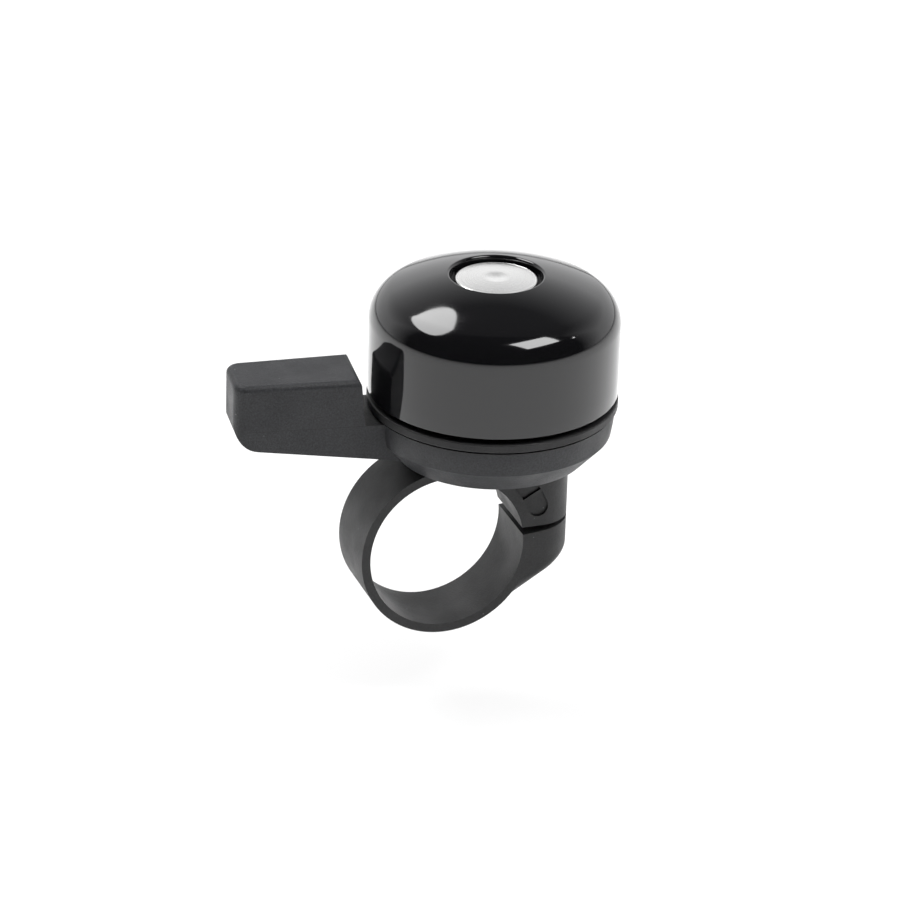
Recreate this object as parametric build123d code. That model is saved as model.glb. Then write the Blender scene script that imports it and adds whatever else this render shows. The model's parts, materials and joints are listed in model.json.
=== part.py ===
from build123d import *
import math
import os

# A thumb-lever bicycle bell with a handlebar clamp.  Millimetres, +Z up.
# The origin is the centre of the clamp's bore, the handlebar runs along Y, and the
# dome's axis is parallel to Z at AXIS_X.

# ---- Driving dimensions -------------------------------------------------------

# Handlebar clamp
BAR_RADIUS = 11.1
BAND_WALL = 1.25
BAND_WIDTH = 10.0
LUG_OFFSET = 2.8
LUG_BOTTOM = 2.15
BLOCK_TOP_INNER = 1.0
BLOCK_TOP_OUTER = 1.9
STRAP_LEAVES_AT = 58.2
STRAP_SLOPE = 31.5
BLOCK_EDGE_RADIUS = 1.6
PANEL_DEPTH = 0.35
PANEL_MARGIN = 0.3
PANEL_WIDTH = 2.85
PANEL_START = 21.0
PANEL_END = 43.0
PANEL_RIB_WIDTH = 0.35
PANEL_RIB_ANGLE = 29.5

# Clamp screw and nut
CLAMP_SCREW_RADIUS = 2.0
CLAMP_HEAD_RADIUS = 2.6
CLAMP_HEAD_HEIGHT = 1.9
CLAMP_SOCKET_FLATS = 2.5
CLAMP_SOCKET_DEPTH = 1.2
CLAMP_WASHER_THICK = 0.4
CLAMP_SEAT_Z = -3.6
NUT_FLATS = 7.0
NUT_HEIGHT = 3.2
NUT_BOTTOM = 6.0

# Bell axis, post and lever cup
AXIS_X = 7.65
POST_RADIUS = 3.4
NECK_RADIUS = 2.9
NECK_FLAT = 2.3
CUP_CLEARANCE = 0.25
CUP_CONE_WIDTH = 3.12
CUP_DRAFT = 0.42
CUP_CONE_HEIGHT = 3.45
CUP_TOP_STEP = 0.31
CUP_HEIGHT = 6.9
CUP_BULGE = 0.06
CUP_WALL = 1.3
CUP_FLOOR = 1.5
HUB_WALL = 0.92
HUB_HEIGHT = 4.0

# Thumb lever
LEVER_ANGLE = 173.5
LEVER_TRAVEL = 20.0
LEVER_TAB_LENGTH = 17.1
LEVER_TAB_GAP = 2.15
LEVER_TAB_LEAN = 0.6
LEVER_TAB_HEIGHT = 6.6
LEVER_HALF_ROOT = 4.9
LEVER_HALF_TIP = 4.4
LEVER_ROOT_RISE = 1.8
LEVER_TIP_RISE = 4.35
LEVER_CORNER = 2.0
LEVER_TIP_ROUND = 3.6
LEVER_EDGE = 0.8

# Tray
TRAY_GAP = 0.3
TRAY_LIP = 0.05
TRAY_THICK = 1.2
THRUST_WASHER_THICK = 0.3

# Dome
DOME_RADIUS = 17.15
DOME_GAP = 0.75
DOME_HEIGHT = 17.3
DOME_WALL = 1.2
CROWN_RADIUS = 36.0
SHOULDER_RADIUS = 4.8
RECESS_RADIUS = 6.3
RECESS_DEPTH = 2.3
RIM_ROUND = 0.35

# Dome screw, washers and spacer
HEAD_RADIUS = 5.63
HEAD_EDGE_HEIGHT = 0.75
HEAD_CROWN = 0.3
DOME_SCREW_RADIUS = 1.5
DOME_SCREW_SHORT = 0.8
INSERT_RADIUS = 2.1
INSERT_RISE = 0.2
HEAD_WASHER_RADIUS = 5.2
HEAD_WASHER_THICK = 0.3
GROMMET_RADIUS = 4.6
GROMMET_THICK = 0.5
SPACER_RADIUS = 3.4

# Striker
PIVOT_ANGLE = 40.0
PIVOT_RATIO = 1.5
DRIVE_PIN_RADIUS = 0.8
DRIVE_BOSS_RADIUS = 1.5
DRIVE_BOSS_HEIGHT = 2.9
PIVOT_PIN_RADIUS = 1.0
PIVOT_HEAD_RADIUS = 1.8
PIVOT_HEAD_HEIGHT = 0.5
PIVOT_WASHER_RADIUS = 2.0
PIVOT_WASHER_THICK = 0.5
CLIP_RADIUS = 2.0
CLIP_THICK = 0.5
ARM_THICK = 1.2
ARM_WIDTH = 2.6
ARM_LENGTH = 7.0
STRIKER_RATIO = 1.9
HAMMER_RADIUS = 1.8
HAMMER_HEIGHT = 5.2
HAMMER_SHANK_RADIUS = 0.8
HAMMER_GAP = 0.4

# Return spring
WIRE_RADIUS = 0.3
SPRING_PITCH = 1.0
SPRING_TURNS = 4.4
SPRING_ANGLE = 200.0
SPRING_LEG = 2.2
PEG_RADIUS = 0.5
PEG_HEIGHT = 1.3

# Clearances
RUNNING = 0.08
SLIDING = 0.15
SNUG = 0.02
END_PLAY = 0.1
SPRING_CLEAR = 0.3
BOSS_CLEAR = 0.2
SCREW_HOLE = 0.15
HEAD_ROOM = 0.25

# ---- Derived sizes --------------------------------------------------------------

BAND_RADIUS = BAR_RADIUS + BAND_WALL
HALF_WIDTH = BAND_WIDTH / 2
LUG_CENTRE_X = BAR_RADIUS + LUG_OFFSET
CUP_BOTTOM = BAND_RADIUS + CUP_CLEARANCE
CUP_TOP = CUP_BOTTOM + CUP_HEIGHT
CUP_CREASE_Z = CUP_BOTTOM + CUP_CONE_HEIGHT
CUP_TOP_RADIUS = DOME_RADIUS - CUP_TOP_STEP
CUP_CREASE_RADIUS = CUP_TOP_RADIUS - CUP_DRAFT
CUP_BASE_RADIUS = CUP_CREASE_RADIUS - CUP_CONE_WIDTH
LEVER_TAB_START = DOME_RADIUS + LEVER_TAB_GAP
LEVER_TAB_FOOT = LEVER_TAB_START - LEVER_TAB_LEAN
LEVER_TIP = LEVER_TAB_START + LEVER_TAB_LENGTH
LEVER_TOP = CUP_TOP + LEVER_TAB_HEIGHT
LEVER_UNDER_ROOT = CUP_BOTTOM + LEVER_ROOT_RISE
LEVER_UNDER_TIP = CUP_BOTTOM + LEVER_TIP_RISE
INSERT_BOTTOM = CUP_BOTTOM + INSERT_RISE
DOME_SCREW_END = INSERT_BOTTOM + DOME_SCREW_SHORT
TRAY_RADIUS = DOME_RADIUS + TRAY_LIP
SADDLE_TOP = BAND_RADIUS
TRAY_BOTTOM = CUP_TOP + TRAY_GAP
TRAY_TOP = TRAY_BOTTOM + TRAY_THICK
DOME_BOTTOM = TRAY_TOP + DOME_GAP
DOME_TOP = DOME_BOTTOM + DOME_HEIGHT
RECESS_FLOOR = DOME_TOP - RECESS_DEPTH
CUP_FLOOR_TOP = CUP_BOTTOM + CUP_FLOOR
HUB_RADIUS = POST_RADIUS + RUNNING + HUB_WALL
HUB_TOP = CUP_BOTTOM + HUB_HEIGHT
SPRING_RADIUS = HUB_RADIUS + SPRING_CLEAR + WIRE_RADIUS
DRIVE_RADIUS = SPRING_RADIUS + WIRE_RADIUS + BOSS_CLEAR + DRIVE_BOSS_RADIUS
PIVOT_DISTANCE = PIVOT_RATIO * DRIVE_RADIUS
WASHER_BOTTOM = HUB_TOP + END_PLAY
POST_SHOULDER = WASHER_BOTTOM + THRUST_WASHER_THICK
NECK_TOP = TRAY_TOP - 0.2
DOME_INNER = DOME_RADIUS - DOME_WALL
GROMMET_TOP = RECESS_FLOOR - DOME_WALL
SPACER_TOP = GROMMET_TOP - GROMMET_THICK
HEAD_SEAT = RECESS_FLOOR + HEAD_WASHER_THICK
ARM_BOTTOM = TRAY_TOP + PIVOT_WASHER_THICK + END_PLAY
ARM_TOP = ARM_BOTTOM + ARM_THICK
CLIP_BOTTOM = ARM_TOP + END_PLAY
DRIVE_ANGLE = PIVOT_ANGLE - LEVER_TRAVEL / 2
SPRING_BOTTOM = CUP_FLOOR_TOP + WIRE_RADIUS + 0.2
SPRING_TOP = SPRING_BOTTOM + SPRING_PITCH * SPRING_TURNS
SPRING_LEG_ANGLE = 360 * SPRING_TURNS - 2
UPRIGHT = (Align.CENTER, Align.CENTER, Align.MIN)


# ---- Helpers ----------------------------------------------------------------------

def disc(radius, low, high):
    """A cylinder standing on Z between two heights."""
    return Pos(0, 0, low) * Cylinder(radius, high - low, align=UPRIGHT)


def ring(outer, inner, low, high):
    """A washer or tube on Z between two heights."""
    return disc(outer, low, high) - disc(inner, low, high)


def turned(outline):
    """A solid turned about Z from a closed outline of curves in the XZ plane."""
    return revolve(make_face(Plane.XZ * outline), axis=Axis.Z)


def polar(radius, angle):
    """The point at a radius and an angle in degrees about the bell's axis."""
    turn = math.radians(angle)
    return radius * math.cos(turn), radius * math.sin(turn)


def at_polar(shape, radius, angle):
    """Move a shape to a radius and an angle about the bell's axis."""
    x, y = polar(radius, angle)
    return Pos(x, y, 0) * shape


def bar(length, width, low, high):
    """A flat bar from Z outwards along X."""
    size = (Align.MIN, Align.CENTER, Align.MIN)
    return Pos(0, 0, low) * Box(length, width, high - low, align=size)


# ---- Clamp ------------------------------------------------------------------------

def clamp_plan(low, high):
    """The clamp seen from above: a straight band with a half-round end."""
    straight = bar(LUG_CENTRE_X, BAND_WIDTH, low, high)
    return straight + Pos(LUG_CENTRE_X, 0, 0) * disc(HALF_WIDTH, low, high)


def across_band(radius, width):
    """A cylinder along the handlebar."""
    return Rot(90, 0, 0) * Cylinder(radius, width)


def strap_block():
    """The strap's thickened end, with its underside running off the band."""
    leave = math.radians(STRAP_LEAVES_AT)
    start_x = BAND_RADIUS * math.cos(leave)
    start_z = -BAND_RADIUS * math.sin(leave)
    end_x = LUG_CENTRE_X + HALF_WIDTH + 1
    end_z = start_z + (end_x - start_x) * math.tan(math.radians(STRAP_SLOPE))
    outline = Polyline(
        (0, 0),
        (start_x, start_z),
        (end_x, end_z),
        (end_x, BLOCK_TOP_OUTER),
        (BAR_RADIUS, BLOCK_TOP_INNER),
        (0, 0),
    )
    wedge = extrude(make_face(Plane.XZ * outline), HALF_WIDTH, both=True)
    block = wedge & clamp_plan(start_z - 1, BLOCK_TOP_OUTER + 1)
    low_edge = block.edges().filter_by(GeomType.ELLIPSE).sort_by(Axis.Z)[0]
    return fillet(low_edge, BLOCK_EDGE_RADIUS)


def lug_panel():
    """The curved sunk panel on the lug's side, with one thin rib left across it."""
    middle = BAND_RADIUS + PANEL_MARGIN + PANEL_WIDTH / 2
    deep = 2 * PANEL_DEPTH
    sector = ring(middle + PANEL_WIDTH / 2, middle - PANEL_WIDTH / 2, 0, deep)
    outline = Polyline(
        (0, 0),
        polar(4 * middle, PANEL_START),
        polar(4 * middle, PANEL_END),
        (0, 0),
    )
    panel = sector & extrude(make_face(outline), deep)
    for angle in (PANEL_START, PANEL_END):
        panel += at_polar(disc(PANEL_WIDTH / 2, 0, deep), middle, angle)
    rib = bar(4 * middle, PANEL_RIB_WIDTH, 0, deep)
    panel -= Rot(0, 0, PANEL_RIB_ANGLE) * rib
    return Pos(0, PANEL_DEPTH - HALF_WIDTH, 0) * Rot(90, 0, 0) * panel


def gap_tool():
    """The opening between the lug and the strap end's sloping top."""
    far = LUG_CENTRE_X + 2 * HALF_WIDTH
    outline = Polyline(
        (0, LUG_BOTTOM),
        (0, BLOCK_TOP_INNER),
        (BAR_RADIUS, BLOCK_TOP_INNER),
        (LUG_CENTRE_X + HALF_WIDTH, BLOCK_TOP_OUTER),
        (far, BLOCK_TOP_OUTER),
        (far, LUG_BOTTOM),
        (0, LUG_BOTTOM),
    )
    return extrude(make_face(Plane.XZ * outline), BAND_WIDTH, both=True)


def clamp_body():
    """Band, strap end, lug, saddle and the bell's post as one moulding."""
    body = across_band(BAND_RADIUS, BAND_WIDTH) + clamp_plan(LUG_BOTTOM, SADDLE_TOP)
    body -= gap_tool()
    body += strap_block()
    body -= across_band(BAR_RADIUS, 2 * BAND_WIDTH)
    post = disc(POST_RADIUS + 1.6, SADDLE_TOP - 1, CUP_BOTTOM - END_PLAY)
    post += disc(POST_RADIUS, SADDLE_TOP - 1, POST_SHOULDER)
    post += keyed_neck(0, SADDLE_TOP - 1, NECK_TOP)
    body += Pos(AXIS_X, 0, 0) * post
    body -= Pos(AXIS_X, 0, 0) * disc(INSERT_RADIUS + SNUG, INSERT_BOTTOM, NECK_TOP)
    body -= lug_panel()
    return body - clamp_screw_space()


def keyed_neck(clearance, low, high):
    """The post's top with its one flat, which stops the tray turning."""
    flat = Pos(NECK_FLAT + clearance, 0, low) * Box(
        20, 20, high - low, align=(Align.MIN, Align.CENTER, Align.MIN))
    return disc(NECK_RADIUS + clearance, low, high) - flat


def clamp_screw_space():
    """Screw hole, head pocket and nut slot through the strap end and the lug."""
    hole = CLAMP_SCREW_RADIUS + SCREW_HOLE
    space = disc(hole, CLAMP_SEAT_Z - 1, NUT_BOTTOM + NUT_HEIGHT + 1.4)
    space += disc(CLAMP_HEAD_RADIUS + HEAD_ROOM, -BAR_RADIUS, CLAMP_SEAT_Z)
    low = NUT_BOTTOM - SNUG
    high = NUT_BOTTOM + NUT_HEIGHT + SNUG
    nut = hexagon(NUT_FLATS + 2 * SNUG, low, high)
    way_in = (Align.CENTER, Align.MIN, Align.MIN)
    nut += Pos(0, 0, low) * Box(NUT_FLATS + 2 * SNUG, BAND_WIDTH, high - low, align=way_in)
    return Pos(LUG_CENTRE_X, 0, 0) * (space + nut)


def hexagon(flats, low, high):
    """A hexagonal prism on Z with two flats facing along X."""
    outline = RegularPolygon(flats / 2, 6, major_radius=False, rotation=30)
    return Pos(0, 0, low) * extrude(outline, high - low)


def clamp_screw():
    """Cap screw that pulls the strap end up to the lug."""
    seat = CLAMP_SEAT_Z - CLAMP_WASHER_THICK
    screw = disc(CLAMP_HEAD_RADIUS, seat - CLAMP_HEAD_HEIGHT, seat)
    screw += disc(CLAMP_SCREW_RADIUS, seat, NUT_BOTTOM + NUT_HEIGHT + 0.6)
    foot = seat - CLAMP_HEAD_HEIGHT
    screw -= hexagon(CLAMP_SOCKET_FLATS, foot, foot + CLAMP_SOCKET_DEPTH)
    return Pos(LUG_CENTRE_X, 0, 0) * screw


def clamp_washer():
    washer = ring(CLAMP_HEAD_RADIUS, CLAMP_SCREW_RADIUS + SNUG,
                  CLAMP_SEAT_Z - CLAMP_WASHER_THICK, CLAMP_SEAT_Z)
    return Pos(LUG_CENTRE_X, 0, 0) * washer


def clamp_nut():
    nut = hexagon(NUT_FLATS, NUT_BOTTOM, NUT_BOTTOM + NUT_HEIGHT)
    nut -= disc(CLAMP_SCREW_RADIUS + SNUG, NUT_BOTTOM, NUT_BOTTOM + NUT_HEIGHT)
    return Pos(LUG_CENTRE_X, 0, 0) * nut


# ---- Lever cup -----------------------------------------------------------------------

def lever_under(radius):
    """Height of the lever's underside at a distance from the axis."""
    rise = (LEVER_UNDER_TIP - LEVER_UNDER_ROOT) / (LEVER_TIP - CUP_TOP_RADIUS)
    return LEVER_UNDER_ROOT + rise * (radius - CUP_TOP_RADIUS)


def thumb_lever():
    """The arm and its upright thumb tab, pointing along +X."""
    taper = (LEVER_HALF_ROOT - LEVER_HALF_TIP) / (LEVER_TIP - LEVER_TAB_START)
    inner_half = LEVER_HALF_ROOT + taper * LEVER_TAB_START
    plan = Polyline(
        (0, -inner_half),
        (LEVER_TIP, -LEVER_HALF_TIP),
        (LEVER_TIP, LEVER_HALF_TIP),
        (0, inner_half),
        (0, -inner_half),
    )
    plan_face = make_face(plan)
    plan_face = fillet(plan_face.vertices().group_by(Axis.X)[-1], LEVER_CORNER)
    root = CUP_BASE_RADIUS - 1
    side = Polyline(
        (root, lever_under(root)),
        (LEVER_TIP, LEVER_UNDER_TIP),
        (LEVER_TIP, LEVER_TOP),
        (LEVER_TAB_START, LEVER_TOP),
        (LEVER_TAB_FOOT, CUP_TOP),
        (root, CUP_TOP),
        (root, lever_under(root)),
    )
    side_face = make_face(side)
    low_tip = side_face.vertices().group_by(Axis.X)[-1].sort_by(Axis.Y)[0]
    side_face = fillet(low_tip, LEVER_TIP_ROUND)
    upright = extrude(side_face, 2 * LEVER_HALF_ROOT, both=True)
    upright = Rot(90, 0, 0) * upright
    lever = upright & extrude(plan_face, 2 * LEVER_TOP)
    top_edges = lever.faces().sort_by(Axis.Z)[-1].edges()
    return fillet(top_edges, LEVER_EDGE)


def cup_shell():
    """The bowl's outer form, solid."""
    bulge_radius = (CUP_CREASE_RADIUS + CUP_TOP_RADIUS) / 2 + CUP_BULGE
    bulge_z = (CUP_CREASE_Z + CUP_TOP) / 2
    outline = Polyline((0, CUP_TOP), (0, CUP_BOTTOM), (CUP_BASE_RADIUS, CUP_BOTTOM),
                       (CUP_CREASE_RADIUS, CUP_CREASE_Z))
    outline += ThreePointArc((CUP_CREASE_RADIUS, CUP_CREASE_Z), (bulge_radius, bulge_z),
                             (CUP_TOP_RADIUS, CUP_TOP))
    outline += Line((CUP_TOP_RADIUS, CUP_TOP), (0, CUP_TOP))
    return turned(outline)


def cup_hollow():
    """The space inside the bowl."""
    run = CUP_CREASE_RADIUS - CUP_BASE_RADIUS
    rise = CUP_CREASE_Z - CUP_BOTTOM
    slope = run / rise
    level_wall = CUP_WALL * math.hypot(run, rise) / rise
    floor_radius = CUP_BASE_RADIUS + CUP_FLOOR * slope - level_wall
    knee_radius = CUP_CREASE_RADIUS - CUP_WALL
    knee_z = CUP_FLOOR_TOP + (knee_radius - floor_radius) / slope
    outline = Polyline(
        (0, CUP_FLOOR_TOP),
        (floor_radius, CUP_FLOOR_TOP),
        (knee_radius, knee_z),
        (CUP_TOP_RADIUS - CUP_WALL, CUP_TOP),
        (0, CUP_TOP),
        (0, CUP_FLOOR_TOP),
    )
    return turned(outline)


def lever_cup():
    """Bowl and thumb lever in one moulding, turning on the clamp's post."""
    cup = cup_shell() + Rot(0, 0, LEVER_ANGLE) * thumb_lever()
    cup -= cup_hollow()
    cup += disc(HUB_RADIUS, CUP_BOTTOM, HUB_TOP)
    cup -= disc(POST_RADIUS + RUNNING, CUP_BOTTOM, HUB_TOP)
    boss = disc(DRIVE_BOSS_RADIUS, CUP_FLOOR_TOP - 0.5, CUP_FLOOR_TOP + DRIVE_BOSS_HEIGHT)
    boss_hole = disc(DRIVE_PIN_RADIUS, CUP_BOTTOM + 0.7, CUP_FLOOR_TOP + DRIVE_BOSS_HEIGHT)
    cup += at_polar(boss, DRIVE_RADIUS, DRIVE_ANGLE)
    cup -= at_polar(boss_hole, DRIVE_RADIUS, DRIVE_ANGLE)
    peg_at = SPRING_RADIUS + 0.75 * SPRING_LEG
    behind = math.degrees(math.asin((PEG_RADIUS + WIRE_RADIUS + SNUG) / peg_at))
    peg = disc(PEG_RADIUS, CUP_FLOOR_TOP - 0.5, CUP_FLOOR_TOP + PEG_HEIGHT)
    return cup + at_polar(peg, peg_at, SPRING_ANGLE - behind)


def drive_pin():
    """Pin in the cup that works the striker's tail."""
    pin = disc(DRIVE_PIN_RADIUS, CUP_BOTTOM + 0.7, ARM_TOP - 0.2)
    return at_polar(pin, DRIVE_RADIUS, DRIVE_ANGLE)


def return_spring():
    """Torsion spring round the hub, one leg on the cup's peg, one up in the tray."""
    path = Pos(0, 0, SPRING_BOTTOM) * Helix(SPRING_PITCH, SPRING_TOP - SPRING_BOTTOM, SPRING_RADIUS)
    section = Plane(origin=path @ 0, z_dir=path % 0) * Circle(WIRE_RADIUS)
    coil = sweep(section, path=path, is_frenet=True)
    low_leg = Pos(SPRING_RADIUS - WIRE_RADIUS, WIRE_RADIUS / 3, SPRING_BOTTOM) * Rot(0, 90, 0) * Cylinder(
        WIRE_RADIUS, SPRING_LEG + WIRE_RADIUS, align=UPRIGHT)
    top_leg = disc(WIRE_RADIUS, SPRING_TOP - WIRE_RADIUS, TRAY_TOP - 0.3)
    top_leg = at_polar(top_leg, SPRING_RADIUS, SPRING_LEG_ANGLE)
    return Rot(0, 0, SPRING_ANGLE) * (coil + low_leg + top_leg)


# ---- Tray and striker --------------------------------------------------------------------

def tray():
    """The fixed disc between cup and dome, which carries the striker."""
    plate = disc(TRAY_RADIUS, TRAY_BOTTOM, TRAY_TOP)
    plate = fillet(plate.edges().filter_by(GeomType.CIRCLE), 0.2)
    plate += disc(HUB_RADIUS, POST_SHOULDER, TRAY_BOTTOM + 0.5)
    plate -= keyed_neck(SNUG, POST_SHOULDER, TRAY_TOP)
    slot = DRIVE_PIN_RADIUS + 0.5
    track = ring(DRIVE_RADIUS + slot, DRIVE_RADIUS - slot, TRAY_BOTTOM, TRAY_TOP)
    reach = 4 * DRIVE_RADIUS
    wedge = Polyline(
        (0, 0),
        polar(reach, -LEVER_TRAVEL / 2),
        polar(reach, LEVER_TRAVEL / 2),
        (0, 0),
    )
    track = track & Pos(0, 0, TRAY_BOTTOM) * extrude(make_face(wedge), TRAY_THICK)
    for angle in (-LEVER_TRAVEL / 2, LEVER_TRAVEL / 2):
        track += at_polar(disc(slot, TRAY_BOTTOM, TRAY_TOP), DRIVE_RADIUS, angle)
    plate -= Rot(0, 0, PIVOT_ANGLE) * track
    plate -= at_polar(disc(PIVOT_PIN_RADIUS + SNUG, TRAY_BOTTOM, TRAY_TOP), PIVOT_DISTANCE, PIVOT_ANGLE)
    leg_hole = disc(WIRE_RADIUS + 0.1, TRAY_BOTTOM, TRAY_TOP)
    return plate - at_polar(leg_hole, SPRING_RADIUS, SPRING_ANGLE + SPRING_LEG_ANGLE)


def thrust_washer():
    return ring(HUB_RADIUS - 0.1, POST_RADIUS + SNUG, WASHER_BOTTOM, POST_SHOULDER)


def pivot_pin():
    """Headed pin up through the tray, on which the striker turns."""
    pin = disc(PIVOT_HEAD_RADIUS, TRAY_BOTTOM - PIVOT_HEAD_HEIGHT, TRAY_BOTTOM)
    pin += disc(PIVOT_PIN_RADIUS, TRAY_BOTTOM, CLIP_BOTTOM + CLIP_THICK + 0.4)
    return at_polar(pin, PIVOT_DISTANCE, PIVOT_ANGLE)


def pivot_washer():
    washer = ring(PIVOT_WASHER_RADIUS, PIVOT_PIN_RADIUS + SNUG,
                  TRAY_TOP, TRAY_TOP + PIVOT_WASHER_THICK)
    return at_polar(washer, PIVOT_DISTANCE, PIVOT_ANGLE)


def pivot_clip():
    """Push-on clip at the pin's top, with its open slot."""
    clip = ring(CLIP_RADIUS, PIVOT_PIN_RADIUS + SNUG, CLIP_BOTTOM, CLIP_BOTTOM + CLIP_THICK)
    clip -= bar(2 * CLIP_RADIUS, PIVOT_PIN_RADIUS, CLIP_BOTTOM, CLIP_BOTTOM + CLIP_THICK)
    return at_polar(Rot(0, 0, PIVOT_ANGLE) * clip, PIVOT_DISTANCE, PIVOT_ANGLE)


def hammer_direction():
    """Angle of the hammer arm at rest, from the line of axis and pivot."""
    reach = DOME_INNER - HAMMER_GAP - HAMMER_RADIUS
    cosine = (reach ** 2 - PIVOT_DISTANCE ** 2 - ARM_LENGTH ** 2) / (2 * PIVOT_DISTANCE * ARM_LENGTH)
    return math.degrees(math.acos(cosine)) + STRIKER_RATIO * LEVER_TRAVEL


def placed_on_pivot(shape):
    """Put a shape made about the pivot pin where the pin stands."""
    return at_polar(Rot(0, 0, PIVOT_ANGLE) * shape, PIVOT_DISTANCE, PIVOT_ANGLE)


def striker_arm():
    """Flat lever from the drive pin's slot, past the pivot, to the hammer."""
    pin_x, pin_y = polar(DRIVE_RADIUS, -LEVER_TRAVEL / 2)
    tail_far = math.hypot(pin_x - PIVOT_DISTANCE, pin_y)
    tail_angle = math.degrees(math.atan2(pin_y, pin_x - PIVOT_DISTANCE))
    tail_near = PIVOT_DISTANCE - DRIVE_RADIUS
    slot = DRIVE_PIN_RADIUS + SLIDING
    tail_half = slot + 0.8
    tail = bar(tail_far, 2 * tail_half, ARM_BOTTOM, ARM_TOP)
    tail += Pos(tail_far, 0, 0) * disc(tail_half, ARM_BOTTOM, ARM_TOP)
    opening = Pos(tail_near, 0, 0) * bar(tail_far - tail_near, 2 * slot, ARM_BOTTOM, ARM_TOP)
    for place in (tail_near, tail_far):
        opening += Pos(place, 0, 0) * disc(slot, ARM_BOTTOM, ARM_TOP)
    arm = bar(ARM_LENGTH, ARM_WIDTH, ARM_BOTTOM, ARM_TOP)
    arm += Pos(ARM_LENGTH, 0, 0) * disc(HAMMER_RADIUS, ARM_BOTTOM, ARM_TOP)
    arm -= Pos(ARM_LENGTH, 0, 0) * disc(HAMMER_SHANK_RADIUS + SNUG, ARM_BOTTOM, ARM_TOP)
    whole = Rot(0, 0, hammer_direction()) * arm
    whole += Rot(0, 0, tail_angle) * (tail - opening)
    whole += disc(tail_half + 0.15, ARM_BOTTOM, ARM_TOP)
    whole -= disc(PIVOT_PIN_RADIUS + RUNNING, ARM_BOTTOM, ARM_TOP)
    return placed_on_pivot(whole)


def striker_head():
    """Turned hammer riveted up through the arm's end."""
    head = disc(HAMMER_RADIUS, ARM_TOP, ARM_TOP + HAMMER_HEIGHT)
    head = fillet(head.edges().filter_by(GeomType.CIRCLE), 0.4)
    head += disc(HAMMER_SHANK_RADIUS, ARM_BOTTOM, ARM_TOP + 1)
    return placed_on_pivot(Rot(0, 0, hammer_direction()) * Pos(ARM_LENGTH, 0, 0) * head)


# ---- Dome and its fixing ---------------------------------------------------------------------

def dome_section(inset):
    """Half the dome's section, radius and height, with its surface moved in by an inset."""
    crown_z = DOME_TOP - CROWN_RADIUS
    shoulder_r = DOME_RADIUS - SHOULDER_RADIUS
    shoulder_z = crown_z + math.sqrt((CROWN_RADIUS - SHOULDER_RADIUS) ** 2 - shoulder_r ** 2)
    meet = math.degrees(math.atan2(shoulder_z - crown_z, shoulder_r))

    def shoulder(angle):
        x, z = polar(SHOULDER_RADIUS - inset, angle)
        return shoulder_r + x, shoulder_z + z

    def crown(angle):
        x, z = polar(CROWN_RADIUS - inset, angle)
        return x, crown_z + z

    side = DOME_RADIUS - inset
    outline = Polyline((0, DOME_BOTTOM), (side, DOME_BOTTOM), (side, shoulder_z))
    outline += ThreePointArc(shoulder(0), shoulder(meet / 2), shoulder(meet))
    outline += ThreePointArc(crown(meet), crown((meet + 90) / 2), (0, DOME_TOP - inset))
    outline += Line((0, DOME_TOP - inset), (0, DOME_BOTTOM))
    return make_face(outline)


def section_block(inner, outer, low, high):
    """A rectangle in the half section, between two radii and two heights."""
    corner = (Align.MIN, Align.MIN)
    return Pos(inner, low) * Rectangle(outer - inner, high - low, align=corner)


def bell_dome():
    """Pressed bell with a flat-floored recess in its crown."""
    solid = dome_section(0)
    section = solid - dome_section(DOME_WALL)
    section += solid & section_block(0, RECESS_RADIUS + DOME_WALL, GROMMET_TOP, DOME_TOP)
    section -= section_block(0, RECESS_RADIUS, RECESS_FLOOR, DOME_TOP + 1)
    section -= section_block(0, DOME_SCREW_RADIUS + SCREW_HOLE, GROMMET_TOP, DOME_TOP)
    rim = section.vertices().sort_by(Axis.Y)[-1]
    section = fillet(rim, RIM_ROUND)
    mouth = section.vertices().group_by(Axis.Y)[0]
    section = fillet(mouth, 0.25)
    return revolve(Plane.XZ * section, axis=Axis.Z)


def dome_screw():
    """Wide-headed screw that holds the dome, spacer and tray to the post."""
    edge_z = HEAD_SEAT + HEAD_EDGE_HEIGHT
    outline = Polyline((0, edge_z + HEAD_CROWN), (0, HEAD_SEAT), (HEAD_RADIUS, HEAD_SEAT),
                       (HEAD_RADIUS, edge_z))
    ball = (HEAD_RADIUS ** 2 + HEAD_CROWN ** 2) / (2 * HEAD_CROWN)
    half_way = math.sqrt(ball ** 2 - HEAD_RADIUS ** 2 / 4) - ball + HEAD_CROWN
    outline += ThreePointArc((HEAD_RADIUS, edge_z), (HEAD_RADIUS / 2, edge_z + half_way),
                             (0, edge_z + HEAD_CROWN))
    section = make_face(outline)
    outer = section.vertices().group_by(Axis.X)[-1]
    section = fillet(outer.sort_by(Axis.Y)[-1], 0.3)
    head = revolve(Plane.XZ * section, axis=Axis.Z)
    return head + disc(DOME_SCREW_RADIUS, DOME_SCREW_END, HEAD_SEAT + 0.3)


def head_washer():
    return ring(HEAD_WASHER_RADIUS, DOME_SCREW_RADIUS + SNUG, RECESS_FLOOR, HEAD_SEAT)


def dome_grommet():
    return ring(GROMMET_RADIUS, DOME_SCREW_RADIUS + SNUG, SPACER_TOP, GROMMET_TOP)


def dome_spacer():
    return ring(SPACER_RADIUS, DOME_SCREW_RADIUS + 0.1, TRAY_TOP, SPACER_TOP)


def threaded_insert():
    return ring(INSERT_RADIUS, DOME_SCREW_RADIUS + SNUG, INSERT_BOTTOM, NECK_TOP - 0.2)


# ---- Parts -------------------------------------------------------------------------------------

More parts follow.
